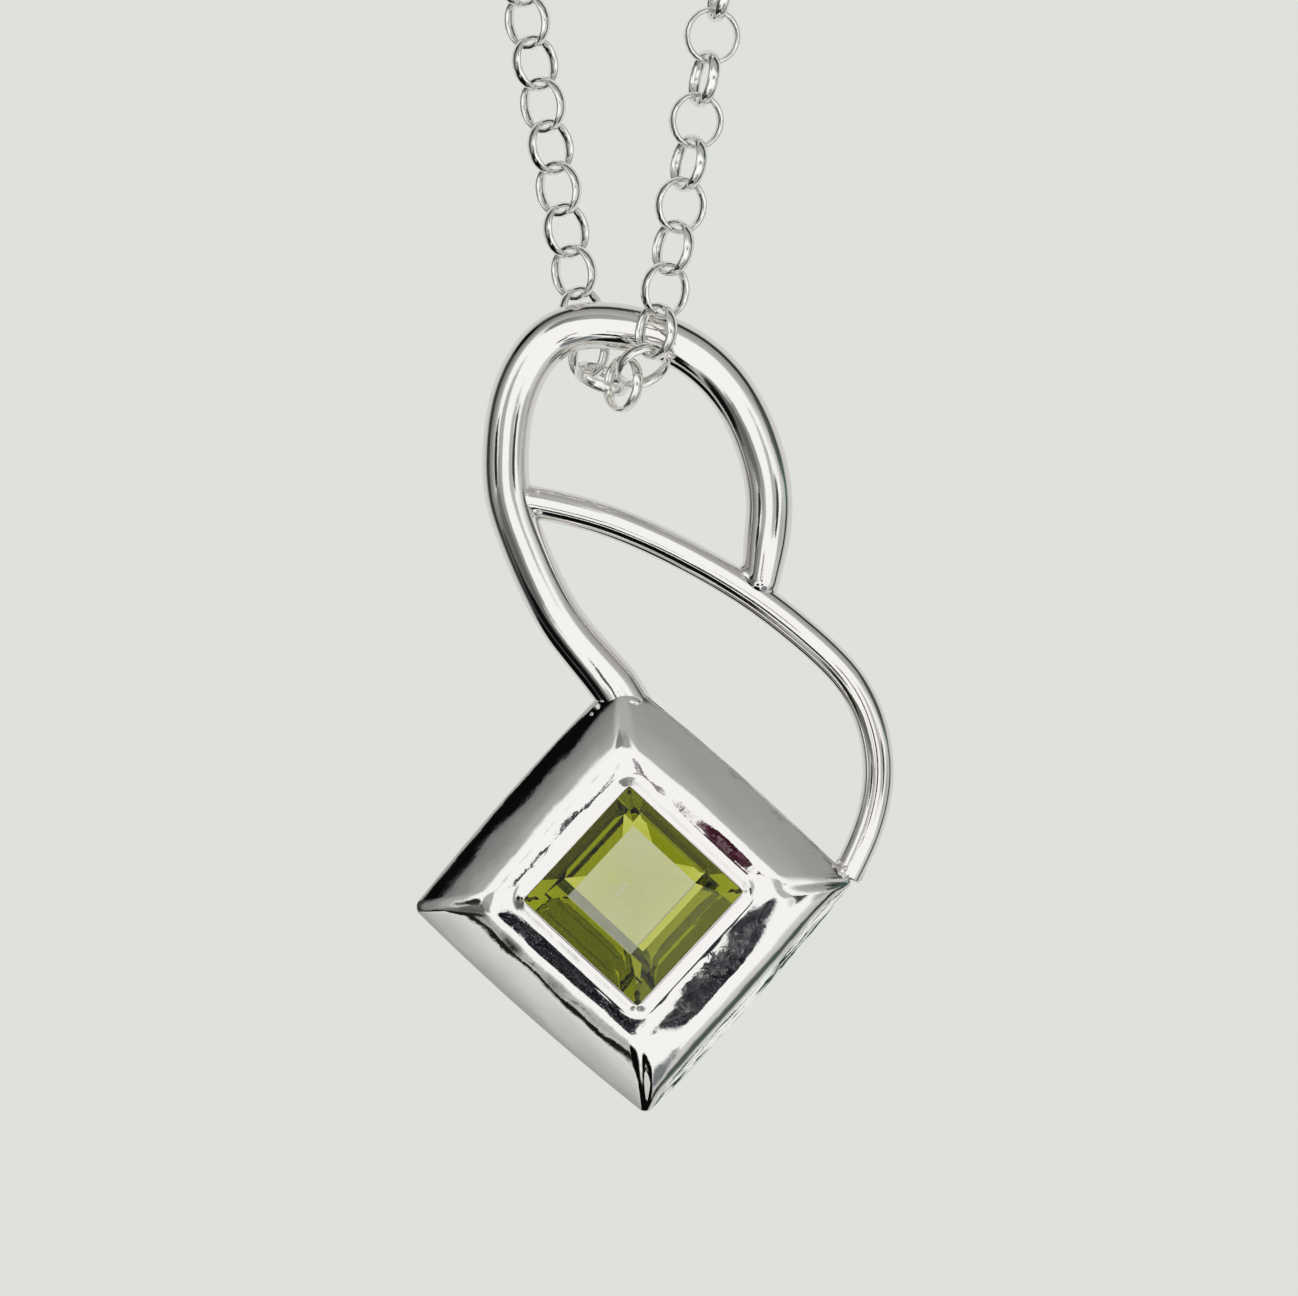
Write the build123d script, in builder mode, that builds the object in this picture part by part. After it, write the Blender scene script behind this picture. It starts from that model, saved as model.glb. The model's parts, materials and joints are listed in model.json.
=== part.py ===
from build123d import *
import os
from math import asin, atan2, cos, degrees, hypot, pi, radians, sin, sqrt

os.makedirs("parts", exist_ok=True)

# Frame: X to the right, Y away from the viewer, Z up, millimetres.
# The origin is the top of the chain's loop, where a neck or a peg carries it.

# Setting: a square pillow frame that hangs by one corner
setting_side = 12.10      # side of the square, between the middles of two side walls less the bow
setting_turn = 3.4        # degrees that the diamond is turned, right corner up
setting_x = 0.48          # centre of the setting, right of the hang point
setting_drop = 21.98      # centre of the setting, below the hang point
side_bow = 0.17           # how far each side bows out at its middle
corner_round = 0.35       # radius of the four outer corners
wall_back = 1.60          # from the wires' middle plane back to the setting's open back
wall_front = 0.10         # from the same plane forward to where the dome begins
dome_rise = 1.94          # height of the dome over the side wall
lip_rise = 0.22           # height of the bezel lip over the dome
lip_width = 0.24          # width of the bezel lip at its rim
lip_flare = 0.10          # how much wider the lip is at its foot
lip_root = 0.15           # how deep that foot sits in the dome
back_ease = 0.22          # rounding of the back edge

# Stone: a square step cut
stone_side = 6.15         # girdle, side to side
stone_turn = 2.2          # degrees that the stone is turned in the frame
stone_gap = 0.05          # clearance round the stone
girdle_height = 0.12
crown_height = 0.78
pavilion_depth = 2.50
table_long = 0.60         # table's length as a share of the girdle's
table_wide = 0.533        # table's width as a share of the girdle's
bite = 0.10               # how far the lip reaches over the girdle on each side
seat_width = 0.62         # ledge under the girdle

# Wires of the hanger
hoop_wire = 1.82          # diameter of the hoop's round wire
hoop_wire_end = 1.34      # the same where it lands on the crossing wire
hoop_neck = 0.93          # share of the hoop's run where its wire begins to narrow
hoop_width = 10.20        # hoop, between the middles of its left and right sides
cross_wire_left = 1.28    # diameter of the crossing wire where it leaves the hoop
cross_wire_right = 1.20   # diameter of the crossing wire at the setting's corner
hoop_sink = 1.50          # how far the hoop's end runs into the setting's top corner
cross_sink = 0.16         # how far in, and how far up, the crossing wire ends at the right corner

# Chain: round rolo links of flat oval wire
link_outer = 2.38
link_wire_radial = 0.27
link_wire_axial = 0.50
link_pitch = 1.66         # from link to link where the chain is straight
bight_pitch = 1.572       # the same where it turns under the hoop
strand_links = 117        # links of each strand, from the bight to the clasp
strand_lean = 10.5        # degrees of each strand from the vertical
left_even = 12            # links of the left strand that all turn alike from the bight up
right_even = 7            # the same for the right strand, whose links turn a little further each

# Clasp: one ring with a small eye
clasp_outer = 5.0
clasp_wire = 0.90
eye_outer = 2.30
eye_wire = 0.50
thread_gap = 0.12         # clearance of the end links in the ring and in the eye

# The chain's turn under the hoop: rise and heading of each link in degrees.
# Heading 0 is to the right and 90 to the front; rows run outward from beside the middle link.
bight_middle = (0.08, -0.38, -2.21)
bight_middle_way = (8.8, 54.3)
BIGHT_LEFT_ROWS = [(27.3, 58.4), (61.5, 67.6)]
BIGHT_RIGHT_ROWS = [(44.2, 55.8), (72.9, 34.2)]

# Centreline of the hoop as shares of its width and of its drop to the setting's corner
HOOP_ROWS = [
    # x share, z share
    (-0.0275, -1.033),
    (-0.2225, -0.842),
    (-0.3765, -0.607),
    (-0.4275, -0.4865),
    (-0.437, -0.3515),
    (-0.395, -0.174),
    (-0.2305, -0.017),
    (0.000, 0.000),
    (0.2295, -0.056),
    (0.357, -0.128),
    (0.515, -0.3235),
    (0.563, -0.494),
    (0.551, -0.623),
]
CROSS_LEAVES = HOOP_ROWS[3]   # where the crossing wire leaves the hoop

# Centreline of the crossing wire as shares of the hoop's width and the setting's drop
CROSS_ROWS = [
    # x share, z share
    (-0.080, -0.337),
    (0.224, -0.397),
    (0.520, -0.4785),
    (0.729, -0.5555),
    (0.873, -0.6256),
    (0.946, -0.693),
    (0.9765, -0.799),
    (0.938, -0.8835),
]
HOOP_LANDS = CROSS_ROWS[2]    # where the hoop's right end lands on the crossing wire

# Dome of the setting: inset as a share of the band, height as a share of the rise
DOME_ROWS = [
    # inset share, height share, share of the bow that is left
    (0.000, 0.000, 1.0),
    (0.052, 0.145, 0.9),
    (0.254, 0.505, 0.6),
    (0.553, 0.843, 0.3),
    (0.693, 0.941, 0.1),
    (0.813, 0.985, 0.0),
    (0.900, 1.000, 0.0),
]

# Crown and pavilion: length and width as shares of the girdle's, height as a share of its own,
# and the step's middle off the stone's along both, again as shares of the girdle's side
CROWN_ROWS = [(1.0, 1.0, 0.0, 0, 0), (0.78, 0.78, 0.52, 0, 0), (table_long, table_wide, 1.0, 0.025, 0.034)]
PAVILION_ROWS = [
    (1.0, 1.0, 0.0, 0, 0),
    (0.748, 0.748, 0.296, 0, 0),
    (0.55, 0.543, 0.64, 0.0585, 0.041),
    (0.081, 0.016, 1.0, 0.049, 0.041),
]

# Loop of the chain
link_mid = (link_outer - link_wire_radial) / 2
link_inner = link_outer / 2 - link_wire_radial
clasp_mid = (clasp_outer - clasp_wire) / 2
eye_mid = (eye_outer - eye_wire) / 2
eye_centre = clasp_mid + eye_mid


def heading_vector(rise, heading):
    r, h = radians(rise), radians(heading)
    return Vector(cos(r) * cos(h), -cos(r) * sin(h), sin(r))


def turned_about(axis, hinge, angle):
    """An axis turned about a hinge through the origin, in radians."""
    return axis.rotate(Axis((0, 0, 0), hinge), degrees(angle))


# Links of the chain's turn about the hang point, from its left end to its right end
middle_way = heading_vector(*bight_middle_way)
bight = [(Vector(*bight_middle), middle_way)]
strand_feet = []
for side, rows in ((-1, BIGHT_LEFT_ROWS), (1, BIGHT_RIGHT_ROWS)):
    touch = Vector(*bight_middle) + middle_way * (side * bight_pitch / 2)
    for rise, heading in rows:
        way = heading_vector(rise, heading)
        way = Vector(side * way.X, side * way.Y, way.Z)
        place = (touch + way * (bight_pitch / 2), way * side)
        bight = [place] + bight if side < 0 else bight + [place]
        touch = touch + way * bight_pitch
    strand_feet.append(touch)

# The top arc that both strands run into, from the whole length and the lean
lean = radians(strand_lean)
foot_x = (strand_feet[1].X - strand_feet[0].X) / 2
foot_z = (strand_feet[1].Z + strand_feet[0].Z) / 2
ring_reach = clasp_mid - clasp_wire / 2 - thread_gap + link_inner - link_pitch / 2
eye_reach = eye_centre + eye_mid - eye_wire / 2 - thread_gap + link_inner - link_pitch / 2
side_length = strand_links * link_pitch + (ring_reach + eye_reach) / 2
loop_radius = (side_length + foot_x / sin(lean)) / (cos(lean) / sin(lean) + pi / 2 + lean)
loop_centre_z = foot_z + (loop_radius - foot_x * cos(lean)) / sin(lean)
hang_drop = loop_centre_z + loop_radius
hang_point = Vector(0, 0, -hang_drop)


def strand_point(foot, side, run):
    """Point of a strand's middle line at a run above its foot, about the hang point."""
    across, up = -side * foot.X, loop_centre_z - foot.Z
    away = hypot(across, up)
    straight = sqrt(away**2 - loop_radius**2)
    tilt = asin(loop_radius / away) + atan2(across, up)
    if run <= straight:
        x, z = foot.X + side * run * sin(tilt), foot.Z + run * cos(tilt)
    else:
        turned = (run - straight) / loop_radius - tilt
        x = side * loop_radius * cos(turned)
        z = loop_centre_z + loop_radius * sin(turned)
    return Vector(x, foot.Y * max(0.0, 1 - run / straight), z)


def strand_turn(side, count):
    """Degrees that a link's hole is turned from facing the viewer."""
    if side < 0:
        drift = max(0, count - left_even) / (strand_links - 1 - left_even)
        return 90 * (count % 2) - 45 - 45 * drift
    drift = max(0, count - right_even) / (strand_links - 1 - right_even)
    leans = 4 * min(count, right_even) - 40
    return leans - (90 + leans) * drift + 90 * (count % 2)


strands = []
strand_ends = []
for side, foot in zip((-1, 1), strand_feet):
    strand = []
    for count in range(strand_links):
        low = strand_point(foot, side, count * link_pitch)
        high = strand_point(foot, side, (count + 1) * link_pitch)
        way = (high - low).normalized()
        facing = Vector(0, -1, 0) + way * way.Y
        turn = radians(strand_turn(side, count))
        strand.append(((low + high) / 2, way * side, turned_about(facing.normalized(), way, -turn)))
    strands.append(strand)
    strand_ends.append(high)

# The twist between the two strands, shared evenly by the links of the bight
ways = [strands[0][0][1]] + [way for _, way in bight] + [strands[1][0][1]]


def carried(axis, step, twist):
    """A link's axis carried on to the next link, then turned about that link's direction."""
    hinge = ways[step].cross(ways[step + 1])
    axis = turned_about(axis, hinge, atan2(hinge.length, ways[step].dot(ways[step + 1])))
    return turned_about(axis, ways[step + 1], twist)


untwisted = strands[0][0][2]
for step in range(len(ways) - 1):
    untwisted = carried(untwisted, step, 0)
last = strands[1][0][2]
need = atan2(untwisted.cross(last).dot(ways[-1]), untwisted.dot(last))
steps = len(ways) - 1
twists = [(need + pi * k) / steps for k in range(-steps, steps + 1)]
twist = min(twists, key=lambda t: abs(abs(t) - pi / 2))
links = []
axis = strands[0][0][2]
for step, (place, way) in enumerate(bight):
    axis = carried(axis, step, twist)
    links.append((place, way, axis))
links += strands[0] + strands[1]

# One link, its wire a flat oval, about its own hole
with BuildPart() as link:
    with BuildSketch(Plane.XZ) as link_section:
        with Locations((link_mid, 0)):
            Ellipse(link_wire_radial / 2, link_wire_axial / 2)
    revolve(axis=Axis.Z)

chain_links = [
    Plane(origin=hang_point + place, x_dir=way, z_dir=axis).location * link.part
    for place, way, axis in links
]
chain = Compound(label="chain", children=chain_links)

# Clasp: ring in the plane of the loop at the top, its eye towards the left strand
ring_turn = atan2(strand_ends[1].X, strand_ends[1].Z - loop_centre_z)
ring_angle = ring_turn - (ring_reach / loop_radius)
clasp_plane = Plane(
    origin=(
        loop_radius * sin(ring_angle),
        0,
        hang_point.Z + loop_centre_z + loop_radius * cos(ring_angle),
    ),
    x_dir=(cos(ring_angle), 0, -sin(ring_angle)),
    z_dir=(0, -1, 0),
)
eye_turn = degrees(asin(eye_centre / (2 * loop_radius)))
with BuildPart(clasp_plane) as clasp:
    Torus(clasp_mid, clasp_wire / 2)
    with Locations((-eye_centre * cos(radians(eye_turn)), -eye_centre * sin(radians(eye_turn)), 0)):
        Torus(eye_mid, eye_wire / 2)
clasp.part.label = "clasp"

# Setting with the hoop and the crossing wire, soldered into one piece
pendant_plane = Plane(origin=hang_point, x_dir=(1, 0, 0), z_dir=(0, -1, 0))
half_side = setting_side / 2
diamond = 45 + setting_turn
setting_centre = hang_point + Vector(setting_x, 0, -setting_drop)
setting_plane = Plane(
    origin=setting_centre,
    x_dir=(cos(radians(diamond)), 0, sin(radians(diamond))),
    z_dir=(0, -1, 0),
)
stone_plane = Plane(
    origin=setting_centre,
    x_dir=(cos(radians(45 + stone_turn)), 0, sin(radians(45 + stone_turn))),
    z_dir=(0, -1, 0),
)
half_stone = stone_side / 2
pocket = half_stone + stone_gap
opening = half_stone - bite
band = half_side - opening
dome_top = wall_front + dome_rise
lip_top = dome_top + lip_rise
corner_reach = half_side * sqrt(2) - corner_round * (sqrt(2) - 1)
crown_first = CROWN_ROWS[1]
crown_slope = crown_first[2] * crown_height / ((1 - crown_first[0]) * half_stone)
girdle_top = lip_top - bite * crown_slope - stone_gap * sqrt(1 + crown_slope**2)
girdle_base = girdle_top - girdle_height

# Corner points of the setting in the pendant's own plane
top_way = Vector(cos(radians(90 + setting_turn)), sin(radians(90 + setting_turn)))
right_way = Vector(cos(radians(setting_turn)), sin(radians(setting_turn)))
centre_point = Vector(setting_x, -setting_drop)
top_corner = centre_point + top_way * corner_reach
right_corner = centre_point + right_way * corner_reach
hoop_drop = setting_drop - corner_reach
hoop_points = [(x * hoop_width, z * hoop_drop) for x, z in HOOP_ROWS]
cross_points = [(x * hoop_width, z * setting_drop) for x, z in CROSS_ROWS]
cross_start = (CROSS_LEAVES[0] * hoop_width, CROSS_LEAVES[1] * hoop_drop)
hoop_landing = (HOOP_LANDS[0] * hoop_width, HOOP_LANDS[1] * setting_drop)
hoop_end = top_corner + Vector(0.25, -1).normalized() * hoop_sink
cross_end = right_corner + Vector(-cross_sink, cross_sink)


with BuildPart() as pendant_frame:
    # Body of the setting, from its open back over the domed sides to the lip
    sections = [(-wall_back, back_ease, 1.0), (-wall_back + back_ease, 0.04, 1.0)]
    sections += [(wall_front + h * dome_rise, i * band, b) for i, h, b in DOME_ROWS]
    for height, inset, bow_share in sections:
        half = half_side - inset
        radius = max(corner_round - inset * 0.3, 0.12)
        bow = side_bow * bow_share + 0.001
        corners = [(half, half), (-half, half), (-half, -half), (half, -half)]
        middles = [(0, half + bow), (-half - bow, 0), (0, -half - bow), (half + bow, 0)]
        with BuildSketch(setting_plane.offset(height)) as level:
            with BuildLine():
                for k in range(4):
                    ThreePointArc(corners[k], middles[k], corners[(k + 1) % 4])
            make_face()
            fillet(level.vertices(), radius)
    loft()
    # Bezel lip
    lip_half = opening + lip_width
    for height, half in ((dome_top - lip_root, lip_half + lip_flare), (lip_top, lip_half)):
        with BuildSketch(stone_plane.offset(height)):
            RectangleRounded(2 * half, 2 * half, lip_flare)
    loft()
    # Hoop: round wire from the top corner up, over and down to the crossing wire
    with BuildLine(pendant_plane) as hoop_line:
        Spline((hoop_end.X, hoop_end.Y), *hoop_points, hoop_landing)
    hoop_run = hoop_line.edge().trim(0, hoop_neck)
    with BuildSketch(Plane(origin=hoop_run @ 0, z_dir=hoop_run % 0)):
        Circle(hoop_wire / 2)
    sweep(path=hoop_run)
    neck_run = hoop_line.edge().trim(hoop_neck, 1)
    for share, wire in ((0, hoop_wire), (1, hoop_wire_end)):
        with BuildSketch(Plane(origin=neck_run @ share, z_dir=neck_run % share)):
            Circle(wire / 2)
    sweep(path=neck_run, multisection=True)
    # Crossing wire, a little thinner towards its right end
    with BuildLine(pendant_plane) as cross_line:
        Spline(cross_start, *cross_points, (cross_end.X, cross_end.Y))
    for share, wire in ((0, cross_wire_left), (1, cross_wire_right)):
        with BuildSketch(Plane(origin=cross_line.line @ share, z_dir=cross_line.line % share)):
            Circle(wire / 2)
    sweep(path=cross_line.line, multisection=True)
    # Open back, seat, pocket for the girdle and the opening in the lip
    hole = pocket - seat_width
    seat_base = girdle_base - stone_gap - seat_width
    with BuildSketch(stone_plane.offset(-wall_back)):
        Rectangle(2 * hole, 2 * hole)
    extrude(amount=wall_back + seat_base + 0.01, mode=Mode.SUBTRACT)
    for height, half in ((seat_base, hole), (girdle_base - stone_gap, pocket)):
        with BuildSketch(stone_plane.offset(height)):
            Rectangle(2 * half, 2 * half)
    loft(ruled=True, mode=Mode.SUBTRACT)
    with BuildSketch(stone_plane.offset(girdle_base - stone_gap)):
        Rectangle(2 * pocket, 2 * pocket)
    extrude(amount=girdle_height + stone_gap, mode=Mode.SUBTRACT)
    for height, half in ((girdle_top, pocket), (lip_top, opening)):
        with BuildSketch(stone_plane.offset(height)):
            Rectangle(2 * half, 2 * half)
    loft(ruled=True, mode=Mode.SUBTRACT)
pendant_frame.part.label = "pendant_frame"

# Stone: steps of the crown up to the table, steps of the pavilion down to a small keel
with BuildPart() as stone:
    with BuildSketch(stone_plane.offset(girdle_base)):
        Rectangle(stone_side, stone_side)
    extrude(amount=girdle_height)
    for low, high in zip(CROWN_ROWS, CROWN_ROWS[1:]):
        for long, wide, height, along, across in (low, high):
            with BuildSketch(stone_plane.offset(girdle_top + height * crown_height)):
                with Locations((stone_side * along, stone_side * across)):
                    Rectangle(stone_side * long, stone_side * wide)
        loft(ruled=True)
    for high, low in zip(PAVILION_ROWS, PAVILION_ROWS[1:]):
        for long, wide, depth, along, across in (high, low):
            with BuildSketch(stone_plane.offset(girdle_base - depth * pavilion_depth)):
                with Locations((stone_side * along, stone_side * across)):
                    Rectangle(stone_side * long, stone_side * wide)
        loft(ruled=True)
stone.part.label = "stone"

export_step(pendant_frame.part, "parts/pendant_frame.step")
export_step(stone.part, "parts/stone.step")
export_step(chain, "parts/chain.step")
export_step(clasp.part, "parts/clasp.step")
print("links", len(links), "loop radius", round(loop_radius, 2), "hang drop", round(hang_drop, 2))
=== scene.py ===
import json

import bpy
import numpy as np
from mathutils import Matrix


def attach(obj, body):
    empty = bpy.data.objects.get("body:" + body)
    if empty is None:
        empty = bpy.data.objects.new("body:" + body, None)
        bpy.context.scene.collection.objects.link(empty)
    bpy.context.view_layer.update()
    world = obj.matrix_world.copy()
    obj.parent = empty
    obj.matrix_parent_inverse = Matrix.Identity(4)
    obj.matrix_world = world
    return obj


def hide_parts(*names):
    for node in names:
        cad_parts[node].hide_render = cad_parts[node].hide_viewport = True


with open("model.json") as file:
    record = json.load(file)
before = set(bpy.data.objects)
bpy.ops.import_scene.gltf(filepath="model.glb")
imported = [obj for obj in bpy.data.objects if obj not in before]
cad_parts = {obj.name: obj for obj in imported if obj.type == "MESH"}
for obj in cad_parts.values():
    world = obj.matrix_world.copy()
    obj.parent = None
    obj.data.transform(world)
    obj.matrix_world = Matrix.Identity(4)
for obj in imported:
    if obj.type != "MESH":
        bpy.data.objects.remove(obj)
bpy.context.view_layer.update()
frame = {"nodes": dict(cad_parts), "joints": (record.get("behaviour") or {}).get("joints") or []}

# Camera: level with the middle of the pendant and straight in front of it, with a long lens,
# so that the round wires and the square setting show no perspective to speak of.
MM = 0.001
hang = np.array(frame["joints"][0]["pos_m"])   # where the chain carries the hoop
view_reach = 300.0       # from the lens to the wires' middle plane
view_width = 50.31       # what the frame takes in at that plane
view_right = 1.085       # middle of the frame, right of the hang point
view_drop = 12.44        # and below it
sensor = 36.0

camera_data = bpy.data.cameras.new("camera")
camera_data.sensor_width = sensor
camera_data.lens = sensor * view_reach / view_width
camera_data.clip_start = 0.01
camera_data.clip_end = 20.0
camera = bpy.data.objects.new("camera", camera_data)
camera.location = hang + np.array([view_right, -view_reach, -view_drop]) * MM
camera.rotation_euler = (np.pi / 2, 0, 0)
bpy.context.scene.collection.objects.link(camera)
bpy.context.scene.camera = camera
bpy.context.scene.view_settings.view_transform = "Standard"


# Setting: the square silver frame round the stone, cast in one piece with its bezel, hand buffed,
# and open in a window behind. Its sides climb evenly to a shoulder, but the lower right one is
# steep and then flat, and the upper right one starts flatter. Its lip is burnished over the stone.
half_side = 6.05         # middle of a side wall from the centre, less the bow
setting_turn = 3.4       # degrees, right corner up
setting_middle = (0.48, -21.98)   # right of the hang point, and above it
side_bow = 0.17
wall_back = 1.60         # the flat back, behind the wires' middle plane
back_ease = 0.22         # round from the back to the wall
back_hold = 0.6          # a ring that keeps the back flat up to that round
window_hold = 0.04       # and one that keeps the window's rim crisp
dome_top = 2.04          # in front of the wires' middle plane
lip_rise = 0.22
lip_reach = 0.64         # from the dome's last ring to the opening
lip_edge = 0.16          # depth of the lip's upright edge
stone_half = 3.075
stone_turn = 2.2
stone_gap = 0.05
bite = 0.10              # how far the lip reaches over the stone
seat_width = 0.62
seat_edge = 0.1
crown_height = 0.78
crown_step_up = 0.52     # the crown's lower step, as a share of that height
crown_step_in = 0.22     # and of half the stone's side
girdle_height = 0.12
wall_corner = 0.38       # corner radius of the walls
pocket_corner = 0.06     # and of the pocket and the window
opening = stone_half - bite
pocket = stone_half + stone_gap
hole = pocket - seat_width
band = half_side - opening
# the tilt of a side's surface, in degrees, at distances in from its wall
EVEN_TILT = [
    (0.0, 60), (0.12, 54), (0.3, 49.5), (0.55, 45.5), (0.8, 42), (1.2, 37), (1.55, 32),
    (1.8, 22), (2.0, 11.5), (2.2, 6.5), (2.5, 4), (2.8, 2), (3.2, 1),
]
STEEP_TILT = [
    (0.0, 76), (0.2, 66), (0.4, 56), (0.55, 46), (0.75, 35), (1.0, 24), (1.2, 14),
    (1.35, 9), (1.7, 6.5), (2.3, 4.5), (2.8, 2), (3.2, 1),
]
FLAT_TILT = [
    (0.0, 58), (0.05, 50.5), (0.11, 44.5), (0.25, 41.6), (0.5, 41), (0.8, 40), (1.2, 37),
    (1.55, 32), (1.8, 22), (2.0, 11.5), (2.2, 6.5), (2.5, 4), (2.8, 2), (3.2, 1),
]
LIP_ROWS = [  # out from the opening, above the dome
    (0.60, 0.001), (0.54, 0.006), (0.46, 0.022), (0.37, 0.050), (0.27, 0.086), (0.18, 0.118),
    (0.11, 0.138), (0.05, 0.146), (0.014, 0.134), (0.0, 0.104), (0.0, 0.060),
]


def smooth_line(rows, count):
    """Points and directions of the natural cubic spline through the rows: its parameter is the
    summed chord length, and on each span it is the cubic that joins the second derivatives."""
    p = np.asarray(rows, float)
    t = np.append(0, np.cumsum(np.linalg.norm(np.diff(p, axis=0), axis=1)))
    h = np.diff(t)[:, None]
    system = np.eye(len(p))
    k = np.arange(1, len(p) - 1)
    system[k, k - 1], system[k, k + 1] = h[:-1, 0], h[1:, 0]
    system[k, k] = 2 * (h[:-1, 0] + h[1:, 0])
    right = np.zeros_like(p)
    right[1:-1] = 6 * (np.diff(p[1:], axis=0) / h[1:] - np.diff(p[:-1], axis=0) / h[:-1])
    bend = np.linalg.solve(system, right)
    s = np.linspace(0, t[-1], count)[:, None]
    k = np.clip(np.searchsorted(t, s[:, 0], side="right") - 1, 0, len(h) - 1)
    a, b, w = t[k + 1, None] - s, s - t[k, None], h[k]
    points = (bend[k] * a**3 + bend[k + 1] * b**3) / (6 * w)
    points += (p[k] / w - bend[k] * w / 6) * a + (p[k + 1] / w - bend[k + 1] * w / 6) * b
    ways = (bend[k + 1] * b**2 - bend[k] * a**2) / (2 * w)
    ways += (p[k + 1] - p[k]) / w - (bend[k + 1] - bend[k]) * w / 6
    return points, ways / np.linalg.norm(ways, axis=1, keepdims=True)


def climb(tilt_rows, inset):
    """Height at each inset, measured down from the shoulder's end: the tilt is a smooth line
    through the rows, and the height is the sum of its tangent over the inset."""
    line, _ = smooth_line(tilt_rows, 2000)
    steps = np.diff(line[:, 0])
    tilt = np.radians((line[1:, 1] + line[:-1, 1]) / 2)
    rise = np.append(0, np.cumsum(np.tan(tilt) * steps))
    height = np.interp(inset, line[:, 0], rise)
    return height - np.interp(band, line[:, 0], rise)


def square_rings(half, bow, radius, turn, side_count=56, corner_count=12):
    """Rings of a rounded square whose sides bow out as parabolas, one row for each half side:
    each corner is an arc that touches both parabolas, and the whole is turned by an angle."""
    half, bow, radius = half[:, None], bow[:, None], radius[:, None]
    slope = 2 * bow / half
    lean = np.arctan(slope)
    centre = half - radius * np.sqrt(1 + slope**2) / (1 + slope)
    end = centre + radius * np.sin(lean)
    across = end * np.sin(np.linspace(-1, 1, side_count)[None] * np.pi / 2)
    side = np.stack([half + bow * (1 - (across / half) ** 2), across], axis=-1)
    inner = np.linspace(0, 1, corner_count + 2)[None, 1:-1]
    angle = lean + (np.pi / 2 - 2 * lean) * inner
    corner = np.stack([centre + radius * np.cos(angle), centre + radius * np.sin(angle)], axis=-1)
    quarter = np.concatenate([side, corner], axis=1)
    quarters = []
    for k in range(4):
        c, s = round(np.cos(k * np.pi / 2)), round(np.sin(k * np.pi / 2))
        quarters.append(quarter @ np.array([[c, s], [-s, c]]))
    ring = np.concatenate(quarters, axis=1)
    a = np.radians(45 + turn)[:, None]
    return np.stack([ring[..., 0] * np.cos(a) - ring[..., 1] * np.sin(a),
                     ring[..., 0] * np.sin(a) + ring[..., 1] * np.cos(a)], axis=-1)


def grid_piece(name, parts, body, smooth=True):
    """One object from grids of points in millimetres about the hang point. Each grid is rows of
    rings, closed around; its ends are joined to each other where loop is set, and otherwise
    each is closed by a fan about its middle. A grid whose faces look inwards, by the sum of
    their normals times the way out from its middle, is turned."""
    verts, loops, sizes, start = [], [], [], 0
    for grid, loop in parts:
        rows, ring = grid.shape[:2]
        row = np.arange(rows if loop else rows - 1)
        i, j = np.meshgrid(row, np.arange(ring), indexing="ij")
        i2, j2 = (i + 1) % rows, (j + 1) % ring
        quads = np.stack([i * ring + j, i2 * ring + j, i2 * ring + j2, i * ring + j2], axis=-1)
        quads = quads.reshape(-1, 4)
        tris = np.zeros((0, 3), int)
        points = grid.reshape(-1, 3)
        if not loop:
            points = np.concatenate([points, grid[:1].mean(1), grid[-1:].mean(1)])
            low, high, last = rows * ring, rows * ring + 1, (rows - 1) * ring
            j = np.arange(ring)
            j2 = (j + 1) % ring
            first_fan = np.stack([np.full(ring, low), j, j2], axis=-1)
            last_fan = np.stack([np.full(ring, high), last + j2, last + j], axis=-1)
            tris = np.concatenate([first_fan, last_fan])
        corner = points[quads]
        normals = np.cross(corner[:, 1] - corner[:, 0], corner[:, 2] - corner[:, 0])
        if (normals * (corner[:, 0] - points.mean(0))).sum() < 0:
            quads, tris = quads[:, ::-1], tris[:, [0, 2, 1]]
        verts.append(points)
        loops += [quads.reshape(-1) + start, tris.reshape(-1) + start]
        sizes += [np.full(len(quads), 4), np.full(len(tris), 3)]
        start += len(points)
    mesh = bpy.data.meshes.new(name)
    loops, sizes = np.concatenate(loops), np.concatenate(sizes)
    points = np.concatenate(verts) * MM + hang
    mesh.vertices.add(len(points))
    mesh.vertices.foreach_set("co", points.reshape(-1))
    mesh.loops.add(len(loops))
    mesh.loops.foreach_set("vertex_index", loops.astype(np.int32))
    mesh.polygons.add(len(sizes))
    starts = np.append(0, np.cumsum(sizes)[:-1])
    mesh.polygons.foreach_set("loop_start", starts.astype(np.int32))
    mesh.polygons.foreach_set("use_smooth", np.full(len(sizes), smooth))
    mesh.update(calc_edges=True)
    mesh.validate()
    piece = bpy.data.objects.new(name, mesh)
    bpy.context.scene.collection.objects.link(piece)
    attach(piece, body)
    return piece


# The rings run from the window's rim out over the back, up the wall, over the dome and the lip,
# and down the pocket and the seat to the start. Each has an inset from the side wall, a height,
# a bow, a corner radius and a turn. They lie closest near the wall, where the dome turns fastest.
outer_insets = band * np.linspace(0, 0.12, 14)
inner_insets = np.linspace(0.13 * band, band - lip_reach, 54)
dome_inset = np.append(outer_insets, inner_insets)
even, steep, flat = (climb(rows, dome_inset) for rows in (EVEN_TILT, STEEP_TILT, FLAT_TILT))
crown_slope = crown_step_up * crown_height / (crown_step_in * stone_half)
lip_top = dome_top + lip_rise
girdle_top = lip_top - bite * crown_slope - stone_gap * np.sqrt(1 + crown_slope**2)
girdle_base = girdle_top - girdle_height
seat_base = girdle_base - stone_gap - seat_width
lip_line, _ = smooth_line(LIP_ROWS, 26)

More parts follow.
